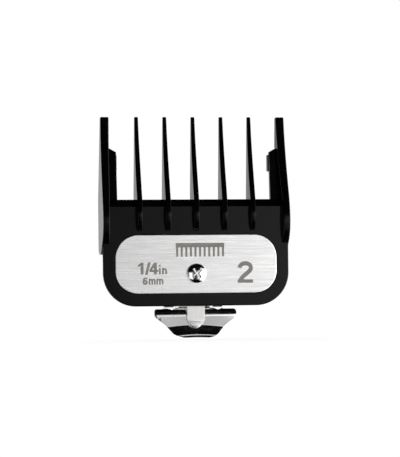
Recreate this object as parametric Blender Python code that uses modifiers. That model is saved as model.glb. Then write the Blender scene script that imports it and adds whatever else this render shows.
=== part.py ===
"""Clipper guard comb with a sprung metal clip.

Teeth point to +Z, the label faces -Y and the clipper blade lies on the +Y side. The origin is on
the blade seat, on the comb's centre line. Heights in this script are measured from the body's
bottom edge, and BASE turns them into world Z. Units are metres.
"""

from math import cos, pi, radians, sin

import bmesh
import bpy
from mathutils import Matrix, Vector
from mathutils.geometry import interpolate_bezier

MM = 0.001

# Body plate
BODY_WIDTH = 48.7 * MM
PLATE_HEIGHT = 27.5 * MM
PLATE_THICKNESS = 4.2 * MM
CORNER_RADIUS = 8.6 * MM
TOP_BEVEL = 1.9 * MM
PLATE_DRAFT = 0.55 * MM  # how far its sides run in towards the seat
EDGE_ROUND = 0.3 * MM
SEAT_HEIGHT = 24.0 * MM  # height of the origin above the bottom edge
SEAT_LOW_EDGE = 7.6 * MM  # the seat stops here, and the plate steps down below it
SEAT_STEP = 0.5 * MM

# Teeth
INNER_TEETH = 5
TOOTH_LENGTH = 21.4 * MM  # above the plate
TOOTH_DEPTH = 6.4 * MM  # blade plane to nose
TOOTH_SETBACK = 0.3 * MM  # the teeth's rear edges stand in front of the seat
TIP_DEPTH = 1.1 * MM
TIP_THICKNESS = 0.95 * MM
NOSE_THICKNESS = 1.3 * MM
ROOT_THICKNESS = 1.7 * MM
NOSE_END = 8.4 * MM  # how far the inner noses reach below the plate's top
OUTER_TOOTH_WIDTH = 2.25 * MM
OUTER_TAPER = 0.45 * MM  # how much narrower the outer teeth are at their noses
OUTER_DRAFT = 0.3 * MM  # how far their outer faces lean in at the tips
OUTER_TOOTH_EXTRA = 0.4 * MM  # how much deeper the outer teeth are
OUTER_NOSE_END = 11.7 * MM
CHEEK_PROUD = 0.1 * MM  # outer faces stand proud of the plate's edge

# Cheeks, ledges and lugs around the blade
CHEEK_THICKNESS = 1.35 * MM
CHEEK_DEPTH = 2.6 * MM
CHEEK_LOW_END = 14.1 * MM  # below the plate's top
CHEEK_CHAMFER = 1.1 * MM
CHEEK_TIP_DEPTH = 0.3 * MM
LEDGE_WIDTH = 2.1 * MM
LEDGE_HEIGHT = 13.5 * MM  # above the plate
LEDGE_CHAMFER = 1.2 * MM
LEDGE_THICKNESS = 1.6 * MM
LEDGE_LEAN = 0.12  # how far the ledge leans back for each unit of height
LUG_LOW = 6.8 * MM  # above the plate
LUG_HEIGHT = 5.4 * MM
LUG_DEPTH = 1.5 * MM
LUG_PROUD = 0.25 * MM  # past the ledge's inner face

# Label plate and its recess
LABEL_WIDTH = 42.2 * MM
LABEL_HEIGHT = 15.2 * MM
LABEL_LOW_EDGE = 3.2 * MM
LABEL_RADIUS = 5.9 * MM
LABEL_THICKNESS = 0.8 * MM
LABEL_PROUD = 0.15 * MM
LABEL_ROUND = 0.12 * MM

# Screw and nut
SCREW_HEIGHT = 8.4 * MM
SCREW_RADIUS = 1.25 * MM
HEAD_RADIUS = 2.5 * MM
HEAD_HEIGHT = 1.3 * MM
HEAD_RIM = 0.35 * MM
DRIVE_WIDTH = 1.0 * MM
DRIVE_LENGTH = 4.2 * MM
DRIVE_DEPTH = 0.9 * MM
DRIVE_TURN = radians(40)
NUT_FLATS = 5.0 * MM
NUT_THICKNESS = 1.2 * MM

# Leaf spring
SPRING_THICKNESS = 0.5 * MM
SPRING_BASE_WIDTH = 8.0 * MM
TONGUE_WIDTH = 4.6 * MM
TONGUE_DROP = 5.5 * MM  # how far the tongue hangs below the body
CHANNEL_WIDTH = 12.0 * MM
CHANNEL_DEPTH = 2.2 * MM
CHANNEL_TOP = 7.6 * MM  # above the screw

# Clip lever
SHEET = 0.8 * MM
TAB_WIDTH = 21.5 * MM
TAB_DROP = 8.3 * MM
LIP_HEIGHT = -7.3 * MM  # where the curled lip ends
NECK_WIDTH = 9.8 * MM
HOOK_DEPTH = 4.0 * MM  # blade seat to the hook's inner face
HOOK_REACH = 7.2 * MM  # top of the hook
WEB_DROP = 0.9 * MM  # the lever's web runs this far below the body
RELIEF_WIDTH = 22.4 * MM
RELIEF_HEIGHT = 1.3 * MM
RELIEF_WALL = 1.2 * MM

# Hinge
PIN_RADIUS = 0.8 * MM
PIN_BACK = 1.6 * MM  # pin axis behind the blade seat
PIN_HEIGHT = 1.5 * MM
EAR_THICKNESS = 2.4 * MM
EAR_RADIUS = 1.85 * MM
FLANGE_RADIUS = 1.7 * MM
PIN_PROUD = 0.3 * MM

# Clearances
SEATED = 0.1 * MM  # between pieces that rest on each other
RUNNING = 0.06 * MM  # radial, between the pin and its holes
SIDE_PLAY = 0.3 * MM
SCREW_PLAY = 0.15 * MM

# Worked out from the sizes above
BASE = -SEAT_HEIGHT
OUTER_FACE = BODY_WIDTH / 2 + CHEEK_PROUD
TOOTH_PITCH = (OUTER_FACE - OUTER_TOOTH_WIDTH) / 3
TIP_HEIGHT = PLATE_HEIGHT + TOOTH_LENGTH
RECESS_FLOOR = -PLATE_THICKNESS - LABEL_PROUD + LABEL_THICKNESS + SEATED
LABEL_FRONT = -PLATE_THICKNESS - LABEL_PROUD
SPRING_FRONT = -CHANNEL_DEPTH + SEATED
SPRING_MIDDLE = SPRING_FRONT + SPRING_THICKNESS / 2
NUT_FRONT = SPRING_FRONT + SPRING_THICKNESS + SEATED
PIN_AXIS = Vector((0, PIN_BACK, BASE + PIN_HEIGHT))
EAR_INNER = NECK_WIDTH / 2 + SIDE_PLAY
FAR = 100 * MM  # cutters run this far past what they cut

BLACK_NYLON = ("black_nylon", (0.006, 0.006, 0.007), 0.3, 0.0)
BRUSHED_STEEL = ("brushed_steel", (0.72, 0.72, 0.73), 0.38, 1.0)
POLISHED_STEEL = ("polished_steel", (0.80, 0.80, 0.81), 0.12, 1.0)
SPRING_STEEL = ("spring_steel", (0.66, 0.65, 0.63), 0.34, 1.0)


def clear_scene():
    for obj in list(bpy.data.objects):
        bpy.data.objects.remove(obj, do_unlink=True)


def new_collection(name):
    collection = bpy.data.collections.new(name)
    bpy.context.scene.collection.children.link(collection)
    return collection


def make_material(finish):
    name, colour, roughness, metallic = finish
    material = bpy.data.materials.new(name)
    material.use_nodes = True
    shader = material.node_tree.nodes["Principled BSDF"]
    shader.inputs["Base Color"].default_value = (*colour, 1)
    shader.inputs["Roughness"].default_value = roughness
    shader.inputs["Metallic"].default_value = metallic
    return material


# Outlines -----------------------------------------------------------------------------------


def arc(centre, radius, start, end, steps=8):
    """Points on a circle, from one angle to another, in degrees."""
    angles = [radians(start + (end - start) * i / steps) for i in range(steps + 1)]
    return [(centre[0] + radius * cos(a), centre[1] + radius * sin(a)) for a in angles]


def bezier(start, handle_1, handle_2, end, steps=8):
    """Points on one cubic Bezier stretch."""
    flat = [Vector((*point, 0)) for point in (start, handle_1, handle_2, end)]
    return [(p.x, p.y) for p in interpolate_bezier(*flat, steps + 1)]


def rounded_rectangle(width, low, high, bottom_radius, top_radius):
    """A rectangle on the centre line with its own radius for the bottom and the top corners."""
    half = width / 2
    points = arc((half - bottom_radius, low + bottom_radius), bottom_radius, -90, 0)
    if top_radius:
        points += arc((half - top_radius, high - top_radius), top_radius, 0, 90)
    else:
        points += [(half, high)]
    return points + [(-x, z) for x, z in reversed(points)]


def thickened(centre_line, thickness):
    """The closed outline of a strip of sheet that follows a centre line."""
    points = [Vector(point) for point in centre_line]
    sides = ([], [])
    for i, point in enumerate(points):
        before = (point - points[i - 1]).normalized() if i else None
        after = (points[i + 1] - point).normalized() if i + 1 < len(points) else None
        along = ((before or after) + (after or before)).normalized()
        normal = Vector((-along.y, along.x))
        mitre = thickness / 2 / max(0.5, along.dot(after or before))
        sides[0].append(tuple(point + normal * mitre))
        sides[1].append(tuple(point - normal * mitre))
    return sides[0] + sides[1][::-1]


# Solids -------------------------------------------------------------------------------------


def extruded(name, outline, thickness, matrix):
    """A flat outline, extruded both ways from its plane and made a mesh."""
    curve = bpy.data.curves.new(name, "CURVE")
    curve.dimensions = "2D"
    curve.fill_mode = "BOTH"
    curve.extrude = thickness / 2
    spline = curve.splines.new("POLY")
    spline.points.add(len(outline) - 1)
    for point, (u, v) in zip(spline.points, outline):
        point.co = (u, v, 0, 1)
    spline.use_cyclic_u = True
    guide = bpy.data.objects.new(name, curve)
    bpy.context.scene.collection.objects.link(guide)
    graph = bpy.context.evaluated_depsgraph_get()
    mesh = bpy.data.meshes.new_from_object(guide.evaluated_get(graph))
    bpy.data.objects.remove(guide)
    shape = bmesh.new()
    shape.from_mesh(mesh)
    bmesh.ops.remove_doubles(shape, verts=shape.verts, dist=0.001 * MM)
    bmesh.ops.transform(shape, matrix=matrix, verts=shape.verts)
    bmesh.ops.recalc_face_normals(shape, faces=shape.faces)
    shape.to_mesh(mesh)
    shape.free()
    mesh.name = name
    return bpy.data.objects.new(name, mesh)


def across(name, outline, left, right):
    """A prism along X from an outline of (y, height) points."""
    turn = Matrix(((0, 0, 1, (left + right) / 2), (1, 0, 0, 0), (0, 1, 0, BASE), (0, 0, 0, 1)))
    return extruded(name, outline, right - left, turn)


def through(name, outline, front, back):
    """A prism along Y from an outline of (x, height) points."""
    turn = Matrix(((1, 0, 0, 0), (0, 0, -1, (front + back) / 2), (0, 1, 0, BASE), (0, 0, 0, 1)))
    return extruded(name, outline, back - front, turn)


def box(name, x, y, height):
    """A box between two values of x, of y and of height."""
    outline = [(x[0], height[0]), (x[1], height[0]), (x[1], height[1]), (x[0], height[1])]
    return through(name, outline, *y)


def cylinder(name, radius, length, centre, axis, sides=40):
    """A cylinder along X or Y around a point."""
    shape = bmesh.new()
    turn = Matrix.Rotation(pi / 2, 4, "Y" if axis == "X" else "X")
    bmesh.ops.create_cone(
        shape,
        cap_ends=True,
        segments=sides,
        radius1=radius,
        radius2=radius,
        depth=length,
        matrix=Matrix.Translation(centre) @ turn,
    )
    mesh = bpy.data.meshes.new(name)
    shape.to_mesh(mesh)
    shape.free()
    return bpy.data.objects.new(name, mesh)


def reshape(obj, move):
    """Moves each vertex of a solid by a rule."""
    for vertex in obj.data.vertices:
        vertex.co = move(vertex.co)
    return obj


def rounded(obj, width, segments=2):
    """Rounds a solid's edges. It stays within half of the thinnest wall."""
    bevel = obj.modifiers.new("edge_round", "BEVEL")
    bevel.width = width
    bevel.segments = segments
    bevel.limit_method = "ANGLE"
    bevel.angle_limit = radians(35)
    bevel.harden_normals = False
    return obj


def combine(target, tool, operation):
    """Adds a Boolean with a hidden helper solid."""
    cutters.objects.link(tool)
    tool.hide_render = True
    tool.display_type = "WIRE"
    boolean = target.modifiers.new(tool.name, "BOOLEAN")
    boolean.operation = operation
    boolean.solver = "EXACT"
    boolean.object = tool


def join(target, tool):
    combine(target, tool, "UNION")


def cut(target, tool):
    combine(target, tool, "DIFFERENCE")


def add_piece(obj, material):
    """Puts a finished piece in the comb's collection with its material."""
    pieces.objects.link(obj)
    obj.data.materials.clear()
    obj.data.materials.append(material)
    obj.data.shade_smooth()
    obj.data.set_sharp_from_angle(angle=radians(30))
    return obj


# Comb body ----------------------------------------------------------------------------------


def front_edge(depth, nose_end):
    """The front of a tooth from its tip to where the nose meets the plate, as (y, height)."""
    low = PLATE_HEIGHT - nose_end
    shoulder = (-0.83 * depth, PLATE_HEIGHT + 0.02 * TOOTH_LENGTH)
    sweep = bezier(
        (-TIP_DEPTH, TIP_HEIGHT - TIP_DEPTH / 2),
        (-TIP_DEPTH - 0.08 * depth, PLATE_HEIGHT + 0.63 * TOOTH_LENGTH),
        (-0.53 * depth, PLATE_HEIGHT + 0.32 * TOOTH_LENGTH),
        shoulder,
        6,
    )
    nose = bezier(
        shoulder,
        (-0.97 * depth, PLATE_HEIGHT - 0.3 * nose_end),
        (-1.16 * depth, low + 0.31 * nose_end),
        (-PLATE_THICKNESS + EDGE_ROUND, low),
    )
    return sweep[:-1] + nose


def tooth_outline(depth, nose_end):
    """A tooth from the side, with its root inside the plate."""
    low = PLATE_HEIGHT - nose_end
    rear = -TOOTH_SETBACK
    tip = [(rear, low), (rear, TIP_HEIGHT - 0.2 * MM), (rear - 0.2 * MM, TIP_HEIGHT)]
    tip += [(-TIP_DEPTH + 0.2 * MM, TIP_HEIGHT)]
    return tip + front_edge(depth, nose_end)


def tooth_thickness(point):
    """A tooth is thinnest at its tip, thicker towards its nose and thickest along its rear."""
    rise = (point.z - BASE - PLATE_HEIGHT) / TOOTH_LENGTH
    rise = min(1, max(0, rise))
    back = min(1, max(0, 1 + point.y / TOOTH_DEPTH))
    low = NOSE_THICKNESS + (ROOT_THICKNESS - NOSE_THICKNESS) * back
    return low + (TIP_THICKNESS - low) * rise


def inner_tooth(number):
    centre = (number - (INNER_TEETH - 1) / 2) * TOOTH_PITCH
    outline = tooth_outline(TOOTH_DEPTH, NOSE_END)
    tooth = across(f"tooth_{number + 1}", outline, -MM / 2, MM / 2)
    reshape(tooth, lambda p: Vector((p.x / MM * tooth_thickness(p) + centre, p.y, p.z)))
    return rounded(tooth, TIP_THICKNESS * 0.3)


def outer_wall(side):
    """An outer tooth and the cheek behind it: one side wall, thinned where it holds the blade."""
    low = PLATE_HEIGHT - CHEEK_LOW_END
    outline = front_edge(TOOTH_DEPTH + OUTER_TOOTH_EXTRA, OUTER_NOSE_END)
    outline += [
        (-PLATE_THICKNESS / 2, low),
        (CHEEK_DEPTH - CHEEK_CHAMFER, low),
        (CHEEK_DEPTH, low + CHEEK_CHAMFER),
        (CHEEK_DEPTH, PLATE_HEIGHT),
        (CHEEK_TIP_DEPTH, TIP_HEIGHT - 0.4 * MM),
        (CHEEK_TIP_DEPTH - 0.4 * MM, TIP_HEIGHT),
        (-TIP_DEPTH + 0.2 * MM, TIP_HEIGHT),
    ]
    wall = across(f"outer_wall_{side}", outline, 0, MM)

    def drafted(point):
        rise = max(0, point.z - BASE - PLATE_HEIGHT) / TOOTH_LENGTH
        width = OUTER_TOOTH_WIDTH + OUTER_TAPER * point.y / TOOTH_DEPTH
        inward = OUTER_DRAFT * rise + (width if point.x > MM / 2 else 0)
        return Vector((side * (OUTER_FACE - inward), point.y, point.z))

    reshape(wall, drafted)
    if side > 0:
        wall.data.flip_normals()
    rounded(wall, EDGE_ROUND)
    pocket = sorted((0, side * (OUTER_FACE - CHEEK_THICKNESS)))
    high = PLATE_HEIGHT + LEDGE_HEIGHT
    cut(wall, box(f"blade_pocket_{side}", pocket, (0, FAR), (-FAR, high)))
    return wall


def ledge(side):
    """The leaning slab inside each outer tooth, in front of the blade's corner."""
    outside = OUTER_FACE - OUTER_TOOTH_WIDTH / 2
    inside = OUTER_FACE - OUTER_TOOTH_WIDTH - LEDGE_WIDTH
    top = PLATE_HEIGHT + LEDGE_HEIGHT
    low = PLATE_HEIGHT - TOP_BEVEL
    outline = [
        (side * outside, low),
        (side * outside, top),
        (side * (OUTER_FACE - OUTER_TOOTH_WIDTH), top),
        (side * inside, top - LEDGE_CHAMFER),
        (side * inside, low),
    ]
    front = -PLATE_THICKNESS + TOP_BEVEL - SEATED
    slab = through(f"ledge_{side}", outline, front, front + LEDGE_THICKNESS)

    def lean(point):
        rise = point.z - BASE - PLATE_HEIGHT
        back = point.y + LEDGE_LEAN * max(0, rise)
        return Vector((point.x, min(back, -SEATED / 2), point.z))

    return reshape(slab, lean)


def corner_lug(side):
    """The small stop that centres the blade's toothed corner."""
    outer = OUTER_FACE - CHEEK_THICKNESS / 2
    inner = OUTER_FACE - OUTER_TOOTH_WIDTH - LEDGE_WIDTH - LUG_PROUD
    low = PLATE_HEIGHT + LUG_LOW
    high = low + LUG_HEIGHT
    slope = 0.6 * MM
    outline = [
        (side * outer, low - slope),
        (side * inner, low + slope),
        (side * inner, high - slope),
        (side * outer, high + slope),
    ]
    return through(f"lug_{side}", outline, -2 * SEATED, LUG_DEPTH)


def hinge_ear(side):
    """A moulded ear that holds one end of the pin, with a gusset up the plate."""
    centre = (PIN_BACK, PIN_HEIGHT)
    outline = [(-PLATE_THICKNESS / 2, RELIEF_HEIGHT)]
    outline += arc(centre, EAR_RADIUS, -125, 60, 14)
    outline += [(-SEAT_STEP, SEAT_LOW_EDGE - 2 * SEAT_STEP)]
    outline += [(-PLATE_THICKNESS / 2, SEAT_LOW_EDGE - 2 * SEAT_STEP)]
    edges = sorted((side * EAR_INNER, side * (EAR_INNER + EAR_THICKNESS)))
    return across(f"ear_{side}", outline, *edges)


def body_plate():
    """The back plate with its bevel, recess, spring channel and lever relief."""
    outline = rounded_rectangle(BODY_WIDTH, 0, PLATE_HEIGHT, CORNER_RADIUS, 0)
    plate = through("comb_body", outline, -PLATE_THICKNESS, 0)
    share = 2 * PLATE_DRAFT / BODY_WIDTH

    def drafted(point):
        return Vector((point.x * (1 - share * (1 + point.y / PLATE_THICKNESS)), point.y, point.z))

    rounded(reshape(plate, drafted), EDGE_ROUND)
    top = PLATE_HEIGHT + MM
    slope = [
        (-PLATE_THICKNESS - MM, PLATE_HEIGHT - TOP_BEVEL - MM),
        (-PLATE_THICKNESS + TOP_BEVEL + MM, top),
        (-PLATE_THICKNESS - MM, top),
    ]
    cut(plate, across("top_bevel", slope, -FAR, FAR))
    half = BODY_WIDTH / 2 + MM
    cut(plate, box("seat_step", (-half, half), (-SEAT_STEP, FAR), (-MM, SEAT_LOW_EDGE)))
    recess = rounded_rectangle(
        LABEL_WIDTH + 2 * SEATED,
        LABEL_LOW_EDGE - SEATED,
        LABEL_LOW_EDGE + LABEL_HEIGHT + SEATED,
        LABEL_RADIUS + SEATED,
        LABEL_RADIUS + SEATED,
    )
    cut(plate, through("label_recess", recess, -FAR, RECESS_FLOOR))
    channel = (-CHANNEL_WIDTH / 2, CHANNEL_WIDTH / 2)
    channel_top = SCREW_HEIGHT + CHANNEL_TOP
    cut(plate, box("spring_channel", channel, (-CHANNEL_DEPTH, FAR), (-FAR, channel_top)))
    relief = (-RELIEF_WIDTH / 2, RELIEF_WIDTH / 2)
    wall = -PLATE_THICKNESS + RELIEF_WALL
    cut(plate, box("lever_relief", relief, (wall, FAR), (-FAR, RELIEF_HEIGHT)))
    hole = SCREW_RADIUS + SCREW_PLAY
    centre = (0, 0, BASE + SCREW_HEIGHT)
    cut(plate, cylinder("screw_hole", hole, 4 * PLATE_THICKNESS, centre, "Y"))
    return plate


def make_comb_body():
    body = body_plate()
    for number in range(INNER_TEETH):
        join(body, inner_tooth(number))
    for side in (-1, 1):
        join(body, outer_wall(side))
        join(body, ledge(side))
        join(body, corner_lug(side))
        join(body, hinge_ear(side))
    bore = PIN_RADIUS + RUNNING
    cut(body, cylinder("pin_bore", bore, BODY_WIDTH / 2, PIN_AXIS, "X"))
    return add_piece(body, make_material(BLACK_NYLON))


# Label plate, screw and nut -----------------------------------------------------------------


def make_label_plate(steel):
    high = LABEL_LOW_EDGE + LABEL_HEIGHT
    outline = rounded_rectangle(LABEL_WIDTH, LABEL_LOW_EDGE, high, LABEL_RADIUS, LABEL_RADIUS)
    back = LABEL_FRONT + LABEL_THICKNESS
    label = rounded(through("label_plate", outline, LABEL_FRONT, back), LABEL_ROUND, 1)
    hole = SCREW_RADIUS + SCREW_PLAY
    centre = (0, LABEL_FRONT, BASE + SCREW_HEIGHT)
    cut(label, cylinder("label_hole", hole, 4 * LABEL_THICKNESS, centre, "Y"))
    return add_piece(label, steel)


def drive_arm(number):
    """One arm of the cross recess, narrower at its bottom."""
    shape = bmesh.new()
    bmesh.ops.create_cube(shape, size=1)
    for vertex in shape.verts:
        top = vertex.co.z > 0
        vertex.co.x *= DRIVE_LENGTH if top else DRIVE_LENGTH * 0.45
        vertex.co.y *= DRIVE_WIDTH if top else DRIVE_WIDTH * 0.6
        vertex.co.z = HEAD_HEIGHT + (MM if top else -DRIVE_DEPTH)
    mesh = bpy.data.meshes.new(f"drive_arm_{number}")
    shape.to_mesh(mesh)
    shape.free()
    arm = bpy.data.objects.new(mesh.name, mesh)
    arm.rotation_euler.z = DRIVE_TURN + number * pi / 2
    return arm


def make_centre_screw(steel):
    """Turned about its own Z with the head up, then laid along -Y."""
    end = -(NUT_FRONT + NUT_THICKNESS) + LABEL_FRONT - SEATED
    rim = (HEAD_RADIUS, HEAD_RIM)
    dome = bezier(
        (0.0, HEAD_HEIGHT),
        (HEAD_RADIUS * 0.5, HEAD_HEIGHT),
        (HEAD_RADIUS * 0.97, HEAD_HEIGHT * 0.75),
        rim,
        7,
    )
    profile = dome + [(HEAD_RADIUS, 0), (SCREW_RADIUS, 0), (SCREW_RADIUS, end), (0.0, end)]
    mesh = bpy.data.meshes.new("centre_screw")
    edges = [(i, i + 1) for i in range(len(profile) - 1)]
    mesh.from_pydata([(r, 0, z) for r, z in profile], edges, [])
    screw = bpy.data.objects.new("centre_screw", mesh)
    turn = screw.modifiers.new("turned", "SCREW")
    turn.steps = 40
    turn.render_steps = 40
    turn.use_merge_vertices = True
    turn.merge_threshold = 0.00001
    screw.location = (0, LABEL_FRONT - SEATED, BASE + SCREW_HEIGHT)
    screw.rotation_euler.x = pi / 2
    for number in range(2):
        arm = drive_arm(number)
        arm.parent = screw
        cut(screw, arm)
    return add_piece(screw, steel)


def make_hex_nut(steel):
    corner = NUT_FLATS / 2 / cos(pi / 6)
    centre = (0, NUT_FRONT + NUT_THICKNESS / 2, BASE + SCREW_HEIGHT)
    nut = cylinder("hex_nut", corner, NUT_THICKNESS, centre, "Y", 6)
    hole = SCREW_RADIUS + SEATED
    cut(nut, cylinder("nut_thread", hole, 2 * NUT_THICKNESS, centre, "Y", 32))
    return add_piece(nut, steel)


# Leaf spring --------------------------------------------------------------------------------


def tab_front():
    """The y of the thumb tab's front face, which the tongue lies on."""
    return SPRING_MIDDLE + SPRING_THICKNESS / 2 - 0.6 * MM


def spring_line():
    """The leaf spring from the side, as (y, height)."""
    rest = tab_front() - SEATED * 2 - SPRING_THICKNESS / 2
    jog = bezier(
        (SPRING_MIDDLE, 1.4 * MM),
        (SPRING_MIDDLE, 0.4 * MM),
        (rest, 0.9 * MM),
        (rest, -0.2 * MM),
        6,
    )
    end = bezier(
        (rest, -TONGUE_DROP * 0.7),
        (rest, -TONGUE_DROP * 0.8),
        (rest - 0.05 * MM, -TONGUE_DROP * 0.9),
        (rest - 0.25 * MM, -TONGUE_DROP),
        3,
    )
    return [(SPRING_MIDDLE, SCREW_HEIGHT + SPRING_BASE_WIDTH)] + jog + end


def make_leaf_spring(steel):
    """A flat base under the nut and a narrow tongue that steps forward onto the thumb tab."""
    half = TONGUE_WIDTH / 2
    base = SPRING_BASE_WIDTH / 2
    right = arc((0, -TONGUE_DROP + half), half, -90, 0, 8)
    right += [(half, SCREW_HEIGHT - base - 2 * MM), (base, SCREW_HEIGHT - base * 0.6)]
    right += arc((0, SCREW_HEIGHT + base * 0.5), base, 0, 90, 8)
    outline = right + [(-x, z) for x, z in reversed(right[1:-1])]
    strip = thickened(spring_line(), SPRING_THICKNESS)
    spring = across("leaf_spring", strip, -SPRING_BASE_WIDTH, SPRING_BASE_WIDTH)
    combine(spring, through("spring_outline", outline, -FAR, FAR), "INTERSECT")
    hole = SCREW_RADIUS + SCREW_PLAY
    centre = (0, SPRING_MIDDLE, BASE + SCREW_HEIGHT)
    cut(spring, cylinder("spring_hole", hole, 4 * SPRING_THICKNESS, centre, "Y"))
    return add_piece(spring, steel)


# Clip lever and its pin ---------------------------------------------------------------------


def lever_line():
    """The bent sheet from the hook's tip to the thumb lip, as (y, height)."""
    hook = HOOK_DEPTH + SHEET / 2
    web = -WEB_DROP
    bend = 1.2 * MM
    front = tab_front() + SHEET / 2
    waist = -TAB_DROP * 0.58
    line = [(hook - 0.3 * MM, HOOK_REACH), (hook, HOOK_REACH - 1.1 * MM)]
    line += arc((hook - bend, web + bend), bend, 0, -90, 5)
    line += bezier(
        (-0.4 * MM, web),
        (front * 0.9, web),
        (front, web - 0.9 * MM),
        (front, -2.7 * MM),
        6,
    )
    line += bezier(
        (front + 0.25 * MM, waist),
        (front + 0.2 * MM, waist - 1.6 * MM),
        (front - 0.4 * MM, -TAB_DROP + SHEET / 2),
        (front - 1.5 * MM, -TAB_DROP + SHEET / 2),
        6,
    )
    return line + [(front - 2.2 * MM, -TAB_DROP + 0.75 * SHEET), (front - 2.7 * MM, LIP_HEIGHT)]


def tab_outline():
    """The thumb tab from the front: rounded shoulders, V notches and sides that run in."""
    half = TAB_WIDTH / 2
    neck = NECK_WIDTH / 2
    top = -WEB_DROP + 0.4 * SHEET
    right = [(neck, MM), (neck, top), (neck + 1.1 * MM, top - 0.5 * MM)]
    right += [(neck + 2.3 * MM, top - 0.1 * MM)]
    right += arc((half - MM, top - 1.1 * MM), MM, 90, 0, 5)
    right += [(half, -2.5 * MM), (half - 0.5 * MM, -3.1 * MM)]
    right += [(half - 2.9 * MM, -TAB_DROP * 0.59), (half - 4.9 * MM, -TAB_DROP * 0.87)]
    right += bezier(
        (half - 5.9 * MM, -TAB_DROP * 0.93),
        (half - 7.3 * MM, -TAB_DROP * 0.985),
        (3 * MM, -TAB_DROP - 0.05 * MM),
        (0, -TAB_DROP - 0.05 * MM),
        4,
    )
    return right + [(-x, z) for x, z in reversed(right[:-1])]


def lever_flange(side):
    """A side flange, folded up from the neck around the pin."""
    outline = [(PIN_BACK - FLANGE_RADIUS, -WEB_DROP), (PIN_BACK + FLANGE_RADIUS, -WEB_DROP)]
    outline += arc((PIN_BACK, PIN_HEIGHT), FLANGE_RADIUS, 0, 180, 12)
    edges = sorted((side * NECK_WIDTH / 2, side * (NECK_WIDTH / 2 - SHEET)))
    return across(f"flange_{side}", outline, *edges)


def guide_nib(side):
    """A small raised nib that keeps the tongue in the middle of the tab."""
    shape = bmesh.new()
    centre = (side * (TONGUE_WIDTH / 2 + MM), tab_front() * 0.6, BASE - 1.4 * MM)
    radius = 0.5 * MM
    place = Matrix.Translation(centre)
    bmesh.ops.create_uvsphere(shape, u_segments=14, v_segments=8, radius=radius, matrix=place)
    mesh = bpy.data.meshes.new(f"nib_{side}")
    shape.to_mesh(mesh)
    shape.free()
    return bpy.data.objects.new(mesh.name, mesh)


def make_clip_lever(steel):
    """One stamping: thumb tab, neck, two flanges and the hook behind."""
    half = TAB_WIDTH / 2 + MM
    neck = NECK_WIDTH / 2
    lever = across("clip_lever", thickened(lever_line(), SHEET), -half, half)
    split = -0.4 * MM
    blank = through("tab_blank", tab_outline(), -FAR, split)
    join(blank, box("neck_blank", (-neck, neck), (split - SHEET, FAR), (-FAR, FAR)))
    combine(lever, blank, "INTERSECT")
    for side in (-1, 1):
        join(lever, lever_flange(side))
        join(lever, guide_nib(side))
    bore = PIN_RADIUS + RUNNING
    cut(lever, cylinder("lever_bore", bore, TAB_WIDTH, PIN_AXIS, "X"))
    lever.data.transform(Matrix.Translation(-PIN_AXIS))
    lever.location = PIN_AXIS
    return add_piece(lever, steel)


def make_hinge_pin(steel):
    length = 2 * (EAR_INNER + EAR_THICKNESS + PIN_PROUD)
    pin = cylinder("hinge_pin", PIN_RADIUS, length, PIN_AXIS, "X")
    return add_piece(rounded(pin, PIN_RADIUS * 0.25), steel)


clear_scene()
pieces = new_collection("clipper_guard_comb")
cutters = new_collection("cutters")
brushed = make_material(BRUSHED_STEEL)
polished = make_material(POLISHED_STEEL)
make_comb_body()
make_label_plate(brushed)
make_centre_screw(polished)
make_hex_nut(polished)
make_leaf_spring(make_material(SPRING_STEEL))
make_clip_lever(polished)
make_hinge_pin(polished)
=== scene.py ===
"""Looks for a clipper guard comb with a sprung metal clip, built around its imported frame.

Teeth point to +Z, the size plate faces -Y and the clipper blade lies on the +Y side. Sizes in the
classes are millimetres, and heights are measured from the moulding's bottom edge.
"""

import logging
from dataclasses import dataclass, field
from enum import Enum
from math import cos, pi, radians, sin
from typing import Any, Callable, Optional, Sequence, Union

import bmesh
import bpy
from mathutils import Matrix, Vector
from mathutils.geometry import interpolate_bezier


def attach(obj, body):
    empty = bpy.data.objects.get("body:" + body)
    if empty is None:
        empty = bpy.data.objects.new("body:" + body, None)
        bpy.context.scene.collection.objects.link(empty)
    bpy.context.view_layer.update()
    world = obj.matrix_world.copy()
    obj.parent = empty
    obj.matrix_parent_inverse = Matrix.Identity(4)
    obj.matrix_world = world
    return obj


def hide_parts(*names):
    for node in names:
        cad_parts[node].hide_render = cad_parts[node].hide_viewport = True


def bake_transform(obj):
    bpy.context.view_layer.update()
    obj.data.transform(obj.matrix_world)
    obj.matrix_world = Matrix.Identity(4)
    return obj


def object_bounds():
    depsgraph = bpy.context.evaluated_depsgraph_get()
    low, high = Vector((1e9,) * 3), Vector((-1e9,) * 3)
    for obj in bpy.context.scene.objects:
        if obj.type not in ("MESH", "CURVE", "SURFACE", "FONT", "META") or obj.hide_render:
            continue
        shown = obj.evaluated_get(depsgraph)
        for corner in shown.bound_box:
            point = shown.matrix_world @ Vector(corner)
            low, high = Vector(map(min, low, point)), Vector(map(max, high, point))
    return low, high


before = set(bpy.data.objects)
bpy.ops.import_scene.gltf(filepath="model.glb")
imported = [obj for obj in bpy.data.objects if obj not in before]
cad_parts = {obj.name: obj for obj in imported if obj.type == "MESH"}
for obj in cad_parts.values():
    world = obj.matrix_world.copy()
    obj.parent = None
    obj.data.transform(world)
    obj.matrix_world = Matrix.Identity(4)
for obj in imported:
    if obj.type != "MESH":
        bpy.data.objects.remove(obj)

CAD_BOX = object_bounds()
MM = 0.001
BOTTOM = -24.0  # world height of the moulding's bottom edge
FAR = 100.0  # cutters run this far past what they cut
SCREW_HEIGHT = 8.4
SCREW_BORE = 1.4
PIN_CENTRE = (1.6, 1.5)  # y and height
PIN_BORE = 0.86
SHARP_ANGLE = 32.0  # degrees

Point2 = tuple[float, float]
Outline = list[Point2]
Number = Union[float, "Signal"]
Piece = bpy.types.Object

log = logging.getLogger("guard_comb")


class Body(Enum):
    """The rigid bodies that pieces ride on."""

    FIXED = "body"
    CLIP = "clip"


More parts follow.
